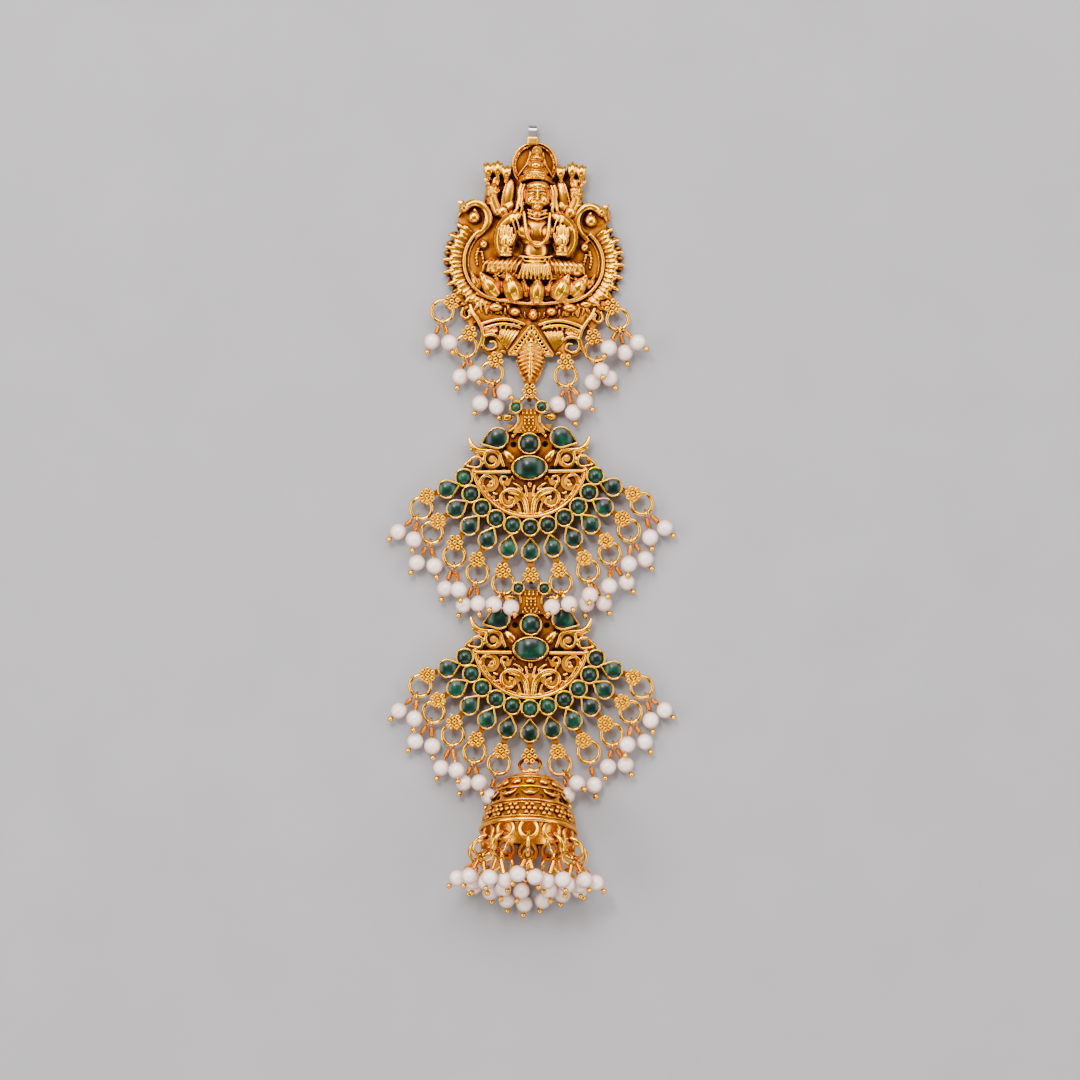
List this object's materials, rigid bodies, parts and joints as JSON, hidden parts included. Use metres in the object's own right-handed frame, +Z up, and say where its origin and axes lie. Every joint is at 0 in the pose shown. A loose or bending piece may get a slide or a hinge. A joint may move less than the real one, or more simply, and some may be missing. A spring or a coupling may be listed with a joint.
{
  "type": "braid ornament",
  "caption": "Gilt braid ornament with a relief plaque, crescent panels of green cabochons, pearl drops and a pierced bell, lying flat on its back.",
  "frame": {"origin": "middle of the ornament's outline on the surface that it lies on", "axes": "+X across it, +Y towards the end that hooks into the hair, +Z up from the surface, out of its face"},
  "size_m": [0.0507, 0.1385, 0.0186],
  "materials": {
    "gilt": "antique gold plate, polished on the high spots and dark in the recesses",
    "wire": "bright gold plated wire",
    "steel": "plain bright steel strip",
    "cabochon": "dark green glass cabochons",
    "pearl": "pale pink-white pearl lustre"
  },
  "bodies": {
    "root": {"goddess_plaque": "gilt", "hair_hook": "steel", "plaque_link_ring": "wire", "plaque_drop_rings": "wire", "plaque_drop_pins": "wire", "plaque_pearls": "pearl", "upper_fan": "gilt", "upper_pear_stone_left": "cabochon", "upper_pear_stone_right": "cabochon", "upper_round_stone": "cabochon", "upper_oval_stone": "cabochon", "upper_tip_stones": "cabochon", "upper_inner_stones": "cabochon", "upper_outer_stones": "cabochon", "upper_link_ring": "wire", "upper_drop_rings": "wire", "upper_drop_pins": "wire", "upper_pearls": "pearl", "lower_fan": "gilt", "lower_pear_stone_left": "cabochon", "lower_pear_stone_right": "cabochon", "lower_round_stone": "cabochon", "lower_oval_stone": "cabochon", "lower_tip_stones": "cabochon", "lower_inner_stones": "cabochon", "lower_outer_stones": "cabochon", "dome_link_ring": "wire", "lower_drop_rings": "wire", "lower_drop_pins": "wire", "lower_pearls": "pearl", "dome": "gilt", "dome_drop_rings": "wire", "dome_drop_pins": "wire", "dome_pearls": "pearl"}
  },
  "joints": []
}
